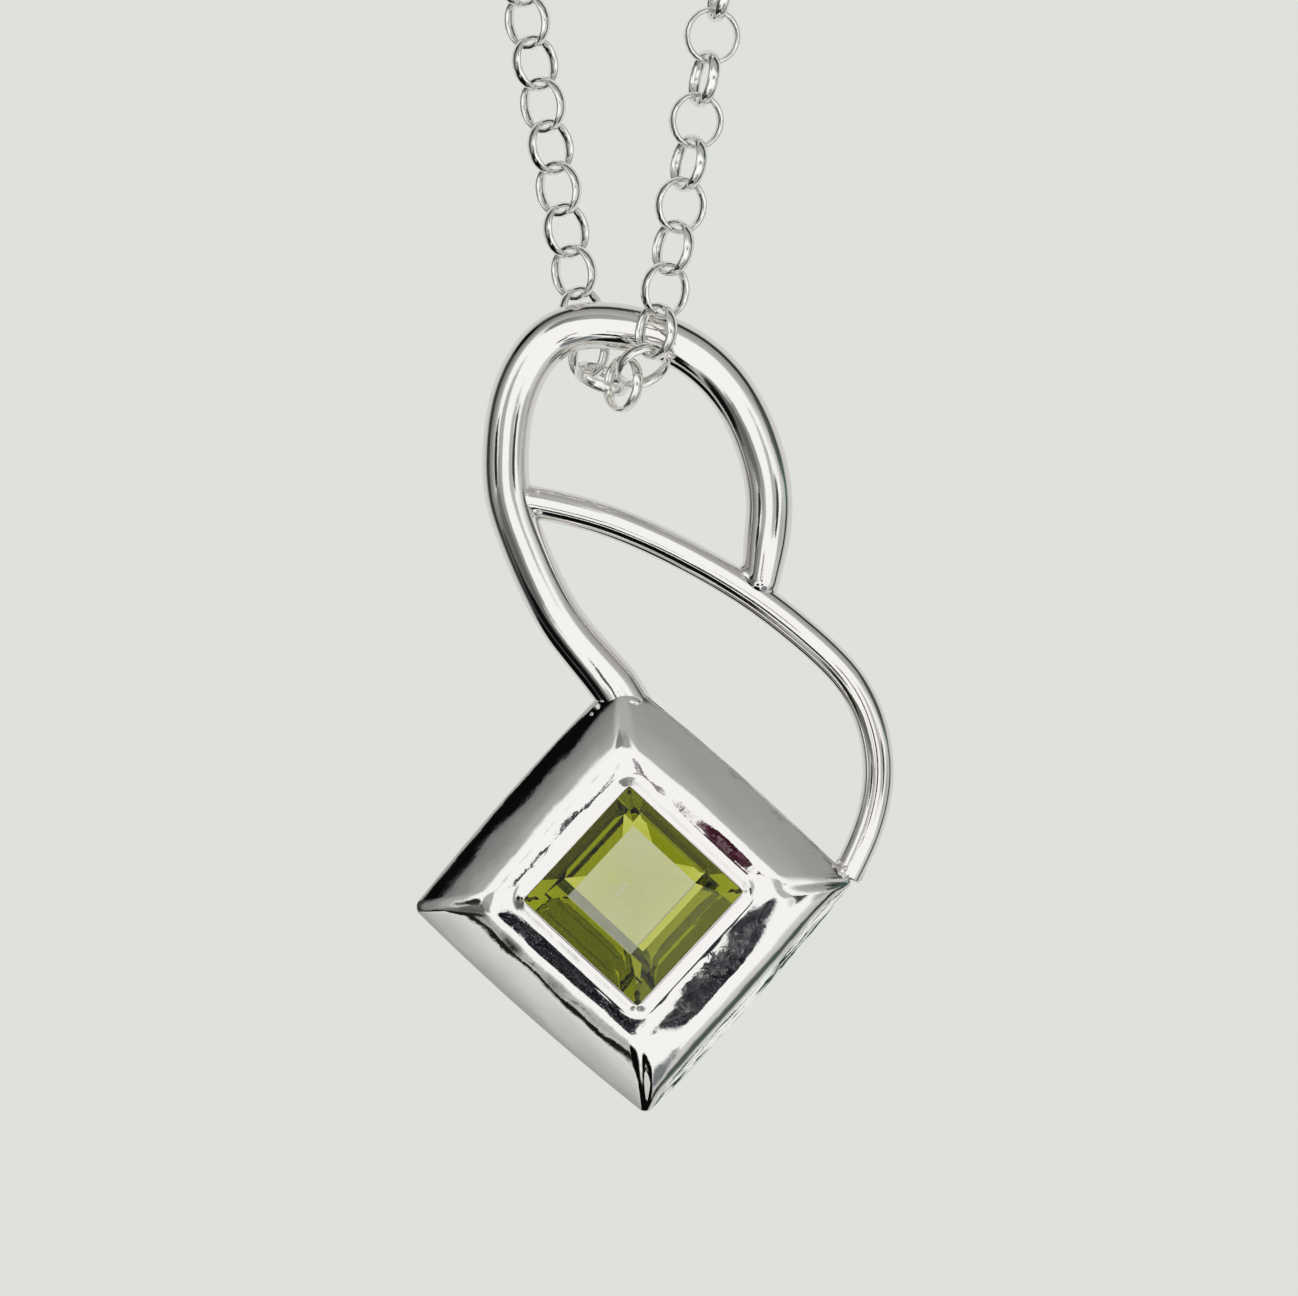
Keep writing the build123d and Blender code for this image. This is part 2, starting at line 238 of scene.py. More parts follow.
rim = half_side - hole
back = [(rim, -wall_back), (rim - window_hold, -wall_back), (back_hold, -wall_back)]
for angle in np.linspace(np.pi / 2, 0, 9):
    back.append((back_ease * (1 - np.cos(angle)), -wall_back + back_ease * (1 - np.sin(angle))))
wall_top = dome_top + even[0]
back += [(0.0, z) for z in np.linspace(-wall_back + back_ease, wall_top, 14)[1:-1]]
back = np.array(back)
pocket_half = np.array([opening, pocket, pocket, pocket, hole, hole])
pocket_height = [lip_top - lip_edge, girdle_top, girdle_base, girdle_base - stone_gap,
                 seat_base, seat_base - seat_edge]
lip_inset = band - lip_line[:, 0]
lip_height = dome_top + climb(EVEN_TILT, lip_inset) + lip_line[:, 1]
inset = np.concatenate([back[:, 0], dome_inset, lip_inset, half_side - pocket_half])
height = np.concatenate([back[:, 1], dome_top + even, lip_height, pocket_height])
first = len(back)                    # first ring of the dome
after = first + len(dome_inset)      # first ring of the lip
below = after + len(lip_line)        # first ring of the pocket
share = np.clip(inset / band, 0, 1)
bow = side_bow * np.interp(share, [0, 0.25, 0.55, 0.8, 1], [1, 0.75, 0.45, 0.1, 0])
bow[after:] = 0
radius = np.interp(share, [0, 0.2, 0.6, 0.80, 1], [wall_corner, 0.5, 0.75, 0.95, 0.4])
radius[:first] = np.interp(inset[:first], [0, 1, 4], [wall_corner, 0.3, pocket_corner])
radius[after:below] = np.interp(lip_line[:, 0], [0, 0.2, 0.6], [0.10, 0.45, 0.95])
radius[below:] = pocket_corner
turn = setting_turn + (stone_turn - setting_turn) * np.interp(share, [0, 0.6, 1], [0, 0.2, 1])
turn[after:] = stone_turn
turn[:3] = (stone_turn, stone_turn, setting_turn)
rings = square_rings(half_side - inset, bow, radius, turn)
level = np.repeat(height[:, None], rings.shape[1], axis=1)
eighth_turn = 0.7853     # in radians, and a hair less


def side_share(round_degrees):
    """How far each point of the dome takes its side's own profile: all of it along the side,
    less by the sixth power towards the two corners."""
    way = np.arctan2(rings[..., 1], rings[..., 0]) - np.radians(setting_turn + round_degrees)
    way = (way + np.pi) % (2 * np.pi) - np.pi
    along = np.tan(np.clip(way, -eighth_turn, eighth_turn))
    return np.where(np.abs(along) < 1, 1 - np.abs(along) ** 6, 0)[first:after]


own_profile = (steep - even)[:, None] * side_share(-45) + (flat - even)[:, None] * side_share(45)
level[first:after] += own_profile
# hand polish leaves long shallow waves, a few microns deep: each wave has its turns to the
# right and up, in radians for a millimetre, and its phase
POLISH_WAVES = [
    (1.9, 0.7, 0.3), (-1.1, 2.3, 1.9), (2.9, -1.6, 4.1), (0.6, -3.4, 2.2), (3.8, 2.9, 5.0),
]
polish_depth = 0.006
across, up = rings[first:after, :, 0], rings[first:after, :, 1]
waves = sum(np.sin(across * u + up * v + w) for u, v, w in POLISH_WAVES)
polish_fade = np.interp(share[first:after], [0, 0.1, 1], [0, 1, 0.4])
level[first:after] += polish_depth * waves * polish_fade[:, None]
setting_grid = np.stack([rings[..., 0] + setting_middle[0], -level,
                         rings[..., 1] + setting_middle[1]], axis=-1)
setting = grid_piece("setting", [(setting_grid, True)], "pendant")
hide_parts("pendant_frame")


def linear(hex_colour):
    """Linear red, green, blue and alpha of an sRGB colour given as six hex digits."""
    v = np.array([int(hex_colour[k:k + 2], 16) for k in (0, 2, 4)]) / 255
    return (*np.where(v <= 0.04045, v / 12.92, ((v + 0.055) / 1.055) ** 2.4), 1.0)


def node(tree, kind, settings=None, **inputs):
    """Adds a node, sets its properties, and gives each input a value or a link. An input is
    called by its name, or by i and its number where nodes have inputs of one name."""
    n = tree.nodes.new(kind)
    for key, value in (settings or {}).items():
        setattr(n, key, value)
    for key, value in inputs.items():
        numbered = key[0] == "i" and key[1:].isdigit()
        socket = n.inputs[int(key[1:]) if numbered else key.replace("_", " ")]
        if isinstance(value, bpy.types.NodeSocket):
            tree.links.new(value, socket)
        else:
            socket.default_value = value
    return n


def silver_finish(name, colour, roughness, hairlines, hair_depth, wave_size, wave_depth,
                  grit_depth):
    """Polished sterling silver: a bright white metal that shows the room as a mirror does. Its
    roughness varies a little with the last buffing, and three noises bump it: shallow waves of
    a size in mm, a fine grit, and hairlines, which are a noise stretched to so many a mm each
    way. The grit and hairlines are drawn coarser than real ones, so that they show."""
    buffing_per_mm, grit_per_mm = 0.9, 5.2
    material = bpy.data.materials.new(name)
    material.use_nodes = True
    t = material.node_tree
    shader = t.nodes["Principled BSDF"]
    shader.inputs["Base Color"].default_value = linear(colour)
    shader.inputs["Metallic"].default_value = 1.0
    place = node(t, "ShaderNodeTexCoord").outputs["Object"]
    cloud = node(t, "ShaderNodeTexNoise", Vector=place, Scale=buffing_per_mm / MM, Detail=3.0)
    rough = node(t, "ShaderNodeMapRange", Value=cloud.outputs["Fac"], From_Min=0.35, From_Max=0.7,
                 To_Min=roughness * 0.6, To_Max=roughness * 1.6)
    t.links.new(rough.outputs[0], shader.inputs["Roughness"])
    turned = node(t, "ShaderNodeMapping", Vector=place, Rotation=(0.3, 0.5, 0.9),
                  Scale=[count / MM for count in hairlines])
    hair = node(t, "ShaderNodeTexNoise", Vector=turned.outputs[0], Scale=1.0, Detail=2.0)
    wave = node(t, "ShaderNodeTexNoise", Vector=place, Scale=1 / (wave_size * MM), Detail=1.0)
    grit = node(t, "ShaderNodeTexNoise", Vector=place, Scale=grit_per_mm / MM, Detail=2.0)
    low = node(t, "ShaderNodeBump", Height=wave.outputs["Fac"], Strength=1.0,
               Distance=wave_depth * MM)
    mid = node(t, "ShaderNodeBump", Height=grit.outputs["Fac"], Strength=1.0,
               Distance=grit_depth * MM, Normal=low.outputs[0])
    top = node(t, "ShaderNodeBump", Height=hair.outputs["Fac"], Strength=1.0,
               Distance=hair_depth * MM, Normal=mid.outputs[0])
    t.links.new(top.outputs[0], shader.inputs["Normal"])
    return material


cast_silver = silver_finish("polished_sterling_silver_casting", "F4F2EE", 0.05,
                            (0.3, 9.0, 9.0), 0.0005, 0.9, 0.012, 0.0020)
setting.data.materials.append(cast_silver)


# Stone: a square step cut of lemon to olive green quartz, sawn, ground and polished facet by
# facet, with a shallow bottom and a short keel off its middle. It sits on the setting's ledge
# under the burnished lip, and light comes through it from the window behind.
crown_step = 0.41
STONE_STEPS = [  # half length, half width, height over the girdle's base, middle of the step
    (0.25, 0.05, -2.50, 0.30, 0.25),
    (1.70, 1.68, -1.60, 0.36, 0.25),
    (2.30, 2.30, -0.74, 0, 0),
    (stone_half, stone_half, 0.0, 0, 0),
    (stone_half, stone_half, girdle_height, 0, 0),
    (2.40, 2.40, girdle_height + crown_step, 0, 0),
    (1.85, 1.64, girdle_height + crown_height, 0.155, 0.210),
]
steps = np.array(STONE_STEPS)
corner_signs = np.array([(1, 1), (-1, 1), (-1, -1), (1, -1)])
u = steps[:, None, 0] * corner_signs[None, :, 0] + steps[:, None, 3]
v = steps[:, None, 1] * corner_signs[None, :, 1] + steps[:, None, 4]
lie = np.radians(45 + stone_turn)
stone_grid = np.stack([u * np.cos(lie) - v * np.sin(lie) + setting_middle[0],
                       -(girdle_base + steps[:, None, 2] + 0 * u),
                       u * np.sin(lie) + v * np.cos(lie) + setting_middle[1]], axis=-1)
stone = grid_piece("stone_step_cut", [(stone_grid, False)], "pendant", smooth=False)
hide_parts("stone")


def quartz_finish(name, table_y, bright_streak_at):
    """Polished green quartz: clear, with the index of quartz, and a body colour that deepens
    with the way through it. Its worn table also scatters a part of the light that falls on it,
    the share of a cloudy noise, and most of it in one short aslant streak: a painted highlight."""
    wear_per_mm, cloud_per_mm, ragged_per_mm = 2.6, 0.7, 3.0
    wear_depth, table_skin = 0.0005, 0.004
    # the strongest veil, and the half sizes and lie below, draw a painted highlight: a short
    # bright streak aslant on the table
    veil_least, veil_most, bright_streak_veil = 0.42, 0.60, 0.75
    bright_streak_half_length, bright_streak_half_width, bright_streak_lie = 0.50, 0.12, 50
    material = bpy.data.materials.new(name)
    material.use_nodes = True
    t = material.node_tree
    shader = t.nodes["Principled BSDF"]
    shader.inputs["Base Color"].default_value = linear("F6F8E2")
    shader.inputs["Roughness"].default_value = 0.01
    shader.inputs["IOR"].default_value = 1.544
    place = node(t, "ShaderNodeTexCoord").outputs["Object"]
    wear = node(t, "ShaderNodeTexNoise", Vector=place, Scale=wear_per_mm / MM, Detail=3.0)
    bump = node(t, "ShaderNodeBump", Height=wear.outputs["Fac"], Strength=1.0,
                Distance=wear_depth * MM)
    t.links.new(bump.outputs[0], shader.inputs["Normal"])
    absorb = node(t, "ShaderNodeVolumeAbsorption", Color=linear("E4E61A"), Density=800.0)
    t.links.new(absorb.outputs[0], t.nodes["Material Output"].inputs["Volume"])
    cloud = node(t, "ShaderNodeTexNoise", Vector=place, Scale=cloud_per_mm / MM, Detail=4.0)
    veil = node(t, "ShaderNodeMapRange", Value=cloud.outputs["Fac"], From_Min=0.3, From_Max=0.7,
                To_Min=veil_least, To_Max=veil_most)
    # painted highlight: a mask of the short aslant streak on the table, where the veil is
    # strongest so that it shows bright
    x, z = np.array(bright_streak_at) * MM + hang[[0, 2]]
    middle = node(t, "ShaderNodeVectorMath", {"operation": "SUBTRACT"}, i0=place, i1=(x, 0, z))
    turned = node(t, "ShaderNodeVectorRotate", {"rotation_type": "Y_AXIS"},
                  Vector=middle.outputs[0], Angle=np.radians(bright_streak_lie))
    bright_streak_size = (bright_streak_half_length * MM, 1e3, bright_streak_half_width * MM)
    sized = node(t, "ShaderNodeVectorMath", {"operation": "DIVIDE"},
                 i0=turned.outputs[0], i1=bright_streak_size)
    ragged = node(t, "ShaderNodeTexNoise", Vector=place, Scale=ragged_per_mm / MM, Detail=2.0)
    ragged = node(t, "ShaderNodeVectorMath", {"operation": "SUBTRACT"},
                  i0=ragged.outputs["Color"], i1=(0.5, 0.5, 0.5))
    bent = node(t, "ShaderNodeVectorMath", {"operation": "MULTIPLY_ADD"},
                i0=ragged.outputs[0], i1=(0.9, 0, 0.9), i2=sized.outputs[0])
    away = node(t, "ShaderNodeVectorMath", {"operation": "LENGTH"}, i0=bent.outputs[0])
    painted_bright_streak = node(t, "ShaderNodeMapRange", {"interpolation_type": "SMOOTHSTEP"},
                Value=away.outputs["Value"], From_Min=0.6, From_Max=1.1,
                To_Min=bright_streak_veil, To_Max=0.0)
    veil = node(t, "ShaderNodeMath", {"operation": "MAXIMUM"},
                i0=veil.outputs[0], i1=painted_bright_streak.outputs[0])
    y = node(t, "ShaderNodeSeparateXYZ", Vector=place).outputs["Y"]
    on_table = node(t, "ShaderNodeMath", {"operation": "LESS_THAN"},
                    i0=y, i1=(table_y + table_skin) * MM)
    veil = node(t, "ShaderNodeMath", {"operation": "MULTIPLY"},
                i0=veil.outputs[0], i1=on_table.outputs[0])
    clear = node(t, "ShaderNodeMath", {"operation": "SUBTRACT"}, i0=1.0, i1=veil.outputs[0])
    t.links.new(clear.outputs[0], shader.inputs["Transmission Weight"])
    return material


table_height = float(stone_grid[-1, 0, 1])
# the last numbers place the painted highlight streak on the table
green_quartz = quartz_finish("polished_green_quartz", table_height, (0.02, -21.74))
stone.data.materials.append(green_quartz)


# Hoop: one length of thick round silver wire, drawn, bent by hand into the eye that the chain
# runs through, soldered to the setting's top corner at one end and to the crossing wire at the
# other, and narrowed there.
hoop_wire = 1.82
hoop_wire_end = 1.34
narrow_from = 0.93       # share of the length after which the wire narrows
hoop_count, hoop_sides = 520, 48
cross_wire_left = 1.28
cross_wire_right = 1.20
cross_count, cross_sides = 480, 40
broken_edge = 0.09       # round of a wire's flat end
HOOP_ROWS = [
    (0.345, -15.04), (-0.28, -14.02), (-2.27, -11.425), (-3.84, -8.236), (-4.36, -6.60),
    (-4.457, -4.77), (-4.03, -2.36), (-2.35, -0.23), (0.0, 0.0), (2.341, -0.76),
    (3.641, -1.737), (5.253, -4.39), (5.743, -6.703), (5.62, -8.453), (5.304, -10.517),
]
CROSS_ROWS = [
    (-4.36, -6.60), (-0.816, -7.407), (2.285, -8.726), (5.304, -10.517), (7.436, -12.21),
    (8.905, -13.751), (9.649, -15.232), (9.960, -17.562), (9.568, -19.419), (8.716, -21.321),
]


def wire_rings(rows, radius_rows, count, sides, flat_end=False):
    """Rings of a round wire along the smooth line through the rows, which lies in the wires'
    plane: each point is the line's, plus the radius along the turned direction and along Y.
    The last rings close in as a quarter round, or as a flat end with a broken edge."""
    line, ways = smooth_line(rows, count)
    share = np.linspace(0, 1, count)
    radius = np.interp(share, [r[0] for r in radius_rows], [r[1] for r in radius_rows])
    ease = np.hanning(31)
    radius = np.convolve(np.pad(radius, 15, mode="edge"), ease / ease.sum(), "valid")
    run = np.append(0, np.cumsum(np.linalg.norm(np.diff(line, axis=0), axis=1)))
    edge = broken_edge if flat_end else radius[-1]
    inside = np.clip(1 - (run[-1] - run) / edge, 0, 1)
    if flat_end:
        radius = radius - edge + edge * np.sqrt(1 - inside**2)
    else:
        radius = radius * np.sqrt(1 - inside**2) + 1e-3
    angle = np.linspace(0, 2 * np.pi, sides, endpoint=False)
    side = np.stack([-ways[:, 1], ways[:, 0]], axis=-1)
    normal = np.stack([side[:, None, 0] * np.cos(angle), -np.sin(angle) + 0 * side[:, :1],
                       side[:, None, 1] * np.cos(angle)], axis=-1)
    middle = np.stack([line[:, 0], 0 * line[:, 0], line[:, 1]], axis=-1)
    return middle[:, None] + normal * radius[:, None, None], normal


def wire_gap(points, line, radius):
    """Distance of each point outside a round wire, and the direction away from it: the nearest
    point of the wire's line is found, and the radius there is taken off."""
    flat = points.reshape(-1, 3)
    away = flat[:, None] - np.stack([line[:, 0], 0 * line[:, 0], line[:, 1]], axis=-1)[None]
    far = np.linalg.norm(away, axis=2)
    k = far.argmin(1)
    pick = np.arange(len(flat))
    out = away[pick, k] / np.maximum(far[pick, k], 1e-6)[:, None]
    return (far[pick, k] - radius[k]).reshape(points.shape[:2]), out.reshape(points.shape)


def solder_flare(grid, normal, gap, out, size):
    """Swells a wire where it is soldered: out along its own normal by the shape of a round
    fillet, less where the two surfaces already run side by side."""
    near = np.clip(np.abs(gap), 0, size)
    swell = size - np.sqrt(size**2 - (size - near) ** 2)
    facing = np.clip((normal * out).sum(-1), 0, 1)
    return grid + normal * (swell * (1 - facing) ** 2)[..., None]


def solder_bead(x, y, z, size):
    """A small round drop of solder: rings of a sphere from pole to pole. A size of three half
    lengths makes it longer one way."""
    size = np.broadcast_to(size, 3)
    lift = np.linspace(-np.pi / 2, np.pi / 2, 17)[1:-1, None]
    turn = np.linspace(0, 2 * np.pi, 28, endpoint=False)
    return np.stack([x + size[0] * np.cos(lift) * np.cos(turn),
                     y + size[1] * np.sin(lift) + 0 * turn,
                     z + size[2] * np.cos(lift) * np.sin(turn)], axis=-1)


hoop_line, _ = smooth_line(HOOP_ROWS, hoop_count)
hoop_radii = [(0, hoop_wire / 2), (narrow_from, hoop_wire / 2), (1, hoop_wire_end / 2)]
hoop_grid, hoop_normal = wire_rings(HOOP_ROWS, hoop_radii, hoop_count, hoop_sides)
cross_line, _ = smooth_line(CROSS_ROWS, 400)
cross_radius = np.linspace(cross_wire_left, cross_wire_right, 400) / 2
gap, out = wire_gap(hoop_grid, cross_line, cross_radius)
# only the right-hand end, its last rings, lands on the crossing wire; the left side carries it
landing, too_far = 380, 9.0
gap[:landing] = too_far
hoop_grid = solder_flare(hoop_grid, hoop_normal, gap, out, 0.30)
# at the foot the solder fills the corner on the right, so the wire spreads that way: by all of
# the spread up to a height, and by less over the fade above it
foot_rings, foot_spread = 140, 0.16
foot_height, foot_fade = -13.9, 2.4
foot_way = np.array([0.83, 0, 0.55])
spread = np.clip(1 - (hoop_line[:, 1] - foot_height) / foot_fade, 0, 1) ** 2
spread[foot_rings:] = 0
to_right = np.clip(hoop_normal @ foot_way, 0, 1) ** 2
hoop_grid += hoop_normal * (foot_spread * spread[:, None] * to_right)[..., None]
BEADS = [  # middle and half size: the pad of solder at the foot, then drops beside the joints
    (0.30, -0.50, -14.60, (0.62, 0.52, 0.42)),
    (-0.93, -0.62, -14.69, 0.13),
    (-1.09, -0.62, -15.04, 0.12),
    (-3.14, -0.55, -7.20, 0.11),
    (-3.22, -0.50, -6.40, 0.10),
    (8.68, -0.52, -20.97, 0.12),
    (8.42, -0.55, -20.70, 0.10),
]
beads = [(solder_bead(*row), False) for row in BEADS]
hoop = grid_piece("hoop", [(hoop_grid, False), *beads], "pendant")
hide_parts("pendant_frame")
drawn_silver = silver_finish("polished_sterling_silver_wire", "F4F2EE", 0.045,
                             (0.9, 5.0, 0.9), 0.0004, 1.8, 0.022, 0.0014)
hoop.data.materials.append(drawn_silver)


# Crossing wire: a thinner round silver wire, butted against the hoop's left side, soldered under
# the hoop's right end and again at the setting's right corner, where it ends cut flat.
cross_radii = [(0, cross_wire_left / 2), (1, cross_wire_right / 2)]
cross_grid, cross_normal = wire_rings(CROSS_ROWS, cross_radii, cross_count, cross_sides,
                                      flat_end=True)
gap, out = wire_gap(cross_grid, hoop_line, np.full(hoop_count, hoop_wire / 2))
# only its first rings meet the hoop's left side
butted = 120
gap[butted:] = too_far
cross_grid = solder_flare(cross_grid, cross_normal, gap, out, 0.10)
crossing = grid_piece("crossing_wire", [(cross_grid, False)], "pendant")
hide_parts("pendant_frame")
crossing.data.materials.append(drawn_silver)


# Chain: round rolo links, each bent from a flat oval silver wire and closed by a soldered seam.
# Every link stands where its solid does: its middle and its axis are those of the solid's corners.
link_count = 239
link_outer = 2.31
link_radial = 0.26
link_axial = 0.50
around_count, section_count = 12, 5
# a ring of twelve by five corners whose first subdivision has the wire's real size
ring_grow, wire_grow = 1 / 0.966, 1 / 0.818

solid = frame["nodes"]["chain"].data
corners = np.empty(len(solid.loops), np.int32)
solid.loops.foreach_get("vertex_index", corners)
places = np.empty(len(solid.vertices) * 3, np.float32)
solid.vertices.foreach_get("co", places)
shells = (places.reshape(-1, 3).astype(float)[corners] - hang) / MM
shells = shells.reshape(link_count, -1, 3)
middles = (shells.min(1) + shells.max(1)) / 2
spread = shells - middles[:, None]
_, axes = np.linalg.eigh(np.einsum("nij,nik->njk", spread, spread))
axis = axes[:, :, 0]
axis *= np.sign(axis[:, 1:2] + axis[:, 2:] * 1e-3)
across_all = np.array([0.31, 0.47, 0.83])   # a direction that no link's axis has
upward = np.cross(axis, across_all)
upward /= np.linalg.norm(upward, axis=1, keepdims=True)
sideways = np.cross(axis, upward)
u = np.arange(around_count) * 2 * np.pi / around_count
v = np.arange(section_count) * 2 * np.pi / section_count
mid = (link_outer - link_radial) / 2 * ring_grow
reach = mid + link_radial / 2 * wire_grow * np.cos(v)[None] * np.ones((around_count, 1))
rise = link_axial / 2 * wire_grow * np.sin(v)[None] * np.ones((around_count, 1))
links = (middles[:, None, None]
         + upward[:, None, None] * (reach * np.cos(u)[:, None])[None, ..., None]
         + sideways[:, None, None] * (reach * np.sin(u)[:, None])[None, ..., None]
         + axis[:, None, None] * rise[None, ..., None])
chain = grid_piece("chain_links", [(grid, True) for grid in links], "chain_loop")
rounding = chain.modifiers.new("rounding", "SUBSURF")
rounding.levels = rounding.render_levels = 1
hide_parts("chain")
chain_silver = silver_finish("polished_sterling_silver_rolo_chain", "FBFAF6", 0.14,
                             (2.5, 2.5, 2.5), 0.0005, 0.6, 0.004, 0.0010)
chain.data.materials.append(chain_silver)


# Clasp: a plain closed ring with a small eye, bent from silver wire and buffed, at the top of
# the loop. The solid's own shape is right, so it only gets the chain's finish.
frame["nodes"]["clasp"].material_slots[0].material = chain_silver


# Floor: a plain round sheet well under the pendant, below what the camera takes in. It is no
# part of the object and has no finish of its own, so from above it shows as a plain grey.
# Neither the silver nor the stone shows it.
floor_drop = view_drop + 80.0
floor_reach = 600.0
floor_rings, floor_sides = 12, 96
turn = np.linspace(0, 2 * np.pi, floor_sides, endpoint=False)
reach = np.linspace(0.02, 1, floor_rings)[:, None] * floor_reach
disc = np.stack([reach * np.cos(turn), reach * np.sin(turn),
                 np.full((floor_rings, floor_sides), -floor_drop)], axis=-1)
i, j = np.meshgrid(np.arange(floor_rings - 1), np.arange(floor_sides), indexing="ij")
here, there = i * floor_sides, (i + 1) * floor_sides
j2 = (j + 1) % floor_sides
quads = np.stack([here + j, there + j, there + j2, here + j2], axis=-1).reshape(-1, 4).tolist()
floor_mesh = bpy.data.meshes.new("floor")
floor_mesh.from_pydata((disc.reshape(-1, 3) * MM + hang).tolist(), [],
                       quads + [list(range(floor_sides))])
floor = bpy.data.objects.new("floor", floor_mesh)
bpy.context.scene.collection.objects.link(floor)
floor.visible_glossy = False
floor.visible_transmission = False


# Cards: pieces of card held near the silver and seen only in it. A pale one with a dark edge
# stands beside the setting's lower left side, a speckled one lies behind its lower right side,
# and six crumpled ones are in front. A white one behind the stone is seen only through it.
def beside_setting(round_degrees, rows, columns):
    """Corners of a strip along one side of the setting: its rows are distances out from the
    setting's middle and Y, its columns distances along the side."""
    c, s = np.cos(np.radians(round_degrees)), np.sin(np.radians(round_degrees))
    return [[(setting_middle[0] + r * c - w * s, y, setting_middle[1] + r * s + w * c)
             for w in columns] for r, y in rows]


def lit_card(name, grid, colour_of):
    """A staged card through a grid of points, which glows by a colour made from its coordinates
    on its front and is clear from behind."""
    grid = np.array(grid)
    mesh = bpy.data.meshes.new(name)
    n = grid.shape[1]
    quads = [(k, k + 1, k + 1 + n, k + n) for k in range(n - 1)]
    mesh.from_pydata((grid.reshape(-1, 3) * MM + hang).tolist(), [], quads)
    card = bpy.data.objects.new(name, mesh)
    bpy.context.scene.collection.objects.link(card)
    card.visible_camera = card.visible_shadow = False
    card.visible_diffuse = card.visible_transmission = False
    material = bpy.data.materials.new("lit_" + name)
    material.use_nodes = True
    t = material.node_tree
    place = node(t, "ShaderNodeTexCoord").outputs["Object"]
    glow = node(t, "ShaderNodeEmission", Color=colour_of(t, place), Strength=1.0)
    behind = node(t, "ShaderNodeNewGeometry").outputs["Backfacing"]
    clear = node(t, "ShaderNodeBsdfTransparent")
    sided = node(t, "ShaderNodeMixShader", i0=behind, i1=glow.outputs[0], i2=clear.outputs[0])
    t.links.new(sided.outputs[0], t.nodes["Material Output"].inputs["Surface"])
    mesh.materials.append(material)
    return card


def colour_stops(tree, value, stops, interpolation="LINEAR"):
    """The colour at a value from 0 to 1, blended from one stop's colour to the next one's."""
    n = node(tree, "ShaderNodeValToRGB", Fac=value)
    n.color_ramp.interpolation = interpolation
    elements = n.color_ramp.elements
    while len(elements) < len(stops):
        elements.new(0.5)
    for element, (at, _) in zip(elements, stops):
        element.position = at
    for element, (_, colour) in zip(elements, stops):
        element.color = colour
    return n.outputs["Color"]


def pale_with_dark_edge(t, place):
    """Greys by the place from front to back, which a noise breaks up: dark in front, then a
    bright edge that dims towards the back."""
    broken_per_mm, broken_reach, half_reach = 0.42, 1.6, 6
    y = node(t, "ShaderNodeSeparateXYZ", Vector=place).outputs["Y"]
    broken = node(t, "ShaderNodeTexNoise", Vector=place, Scale=broken_per_mm / MM, Detail=4.0)
    y = node(t, "ShaderNodeMath", {"operation": "MULTIPLY_ADD"},
             i0=broken.outputs["Fac"], i1=broken_reach * MM, i2=y)
    at = node(t, "ShaderNodeMapRange", Value=y.outputs[0],
              From_Min=-half_reach * MM, From_Max=half_reach * MM)
    grey = [(0.0, 0.01), (0.26, 0.01), (0.285, 0.74), (0.56, 0.50), (0.66, 0.40), (0.9, 0.34)]
    return colour_stops(t, at.outputs[0], [(p, (g, g, g * 0.98, 1)) for p, g in grey])


def speckled(t, place):
    """Dark green and white blotches of a bent noise, with narrow edges between them."""
    blotch = node(t, "ShaderNodeTexNoise", Vector=place, Scale=0.62 / MM, Detail=3.0,
                  Distortion=0.6)
    return colour_stops(t, blotch.outputs["Fac"], [
        (0.0, (0.005, 0.02, 0.014, 1)), (0.44, (0.02, 0.05, 0.04, 1)),
        (0.50, (0.85, 0.88, 0.86, 1)), (1.0, (1, 1, 1, 1))])


def crumpled(round_degrees, out, along, size, dark, pale, white_from):
    """Colour of a white card that carries one dark crumpled patch: a noise that is drawn out away
    from the setting, as the dome squeezes it, with a rim that fades into white."""
    crumbs_along_per_mm, crumbs_out_per_mm = 3.6, 0.76
    c, s = np.cos(np.radians(round_degrees)), np.sin(np.radians(round_degrees))
    middle = np.array([setting_middle[0] + out * c - along * s, 0,
                       setting_middle[1] + out * s + along * c])

    def colour_of(t, place):
        here = node(t, "ShaderNodeVectorMath", {"operation": "SUBTRACT"},
                    i0=place, i1=middle * MM + hang).outputs[0]
        r = node(t, "ShaderNodeVectorMath", {"operation": "DOT_PRODUCT"}, i0=here, i1=(c, 0, s))
        w = node(t, "ShaderNodeVectorMath", {"operation": "DOT_PRODUCT"}, i0=here, i1=(-s, 0, c))
        drawn = node(t, "ShaderNodeCombineXYZ",
                     X=w.outputs["Value"], Y=r.outputs["Value"]).outputs[0]
        cells = node(t, "ShaderNodeVectorMath", {"operation": "MULTIPLY"},
                     i0=drawn, i1=(crumbs_along_per_mm / MM, crumbs_out_per_mm / MM, 1))
        crumbs = node(t, "ShaderNodeTexNoise", Vector=cells.outputs[0], Scale=1.0, Detail=5.0,
                      Roughness=0.7, Distortion=0.8)
        shape = node(t, "ShaderNodeVectorMath", {"operation": "DIVIDE"},
                     i0=drawn, i1=(size[1] * MM, size[0] * MM, 1))
        edge = node(t, "ShaderNodeVectorMath", {"operation": "LENGTH"}, i0=shape.outputs[0])
        edge = node(t, "ShaderNodeMapRange", Value=edge.outputs["Value"],
                    From_Min=0.70, From_Max=1.15, To_Min=0.0, To_Max=0.5)
        total = node(t, "ShaderNodeMath", {"operation": "ADD"},
                     i0=crumbs.outputs["Fac"], i1=edge.outputs[0])
        return colour_stops(t, total.outputs[0], [
            (0.0, linear(dark)), (white_from - 0.15, linear(dark)),
            (white_from - 0.10, linear(pale)), (white_from - 0.06, linear(dark)),
            (white_from + 0.02, (1, 1, 1, 1))])
    return colour_of


def white(t, place):
    """The same white all over."""
    return (0.92, 0.92, 0.90, 1)


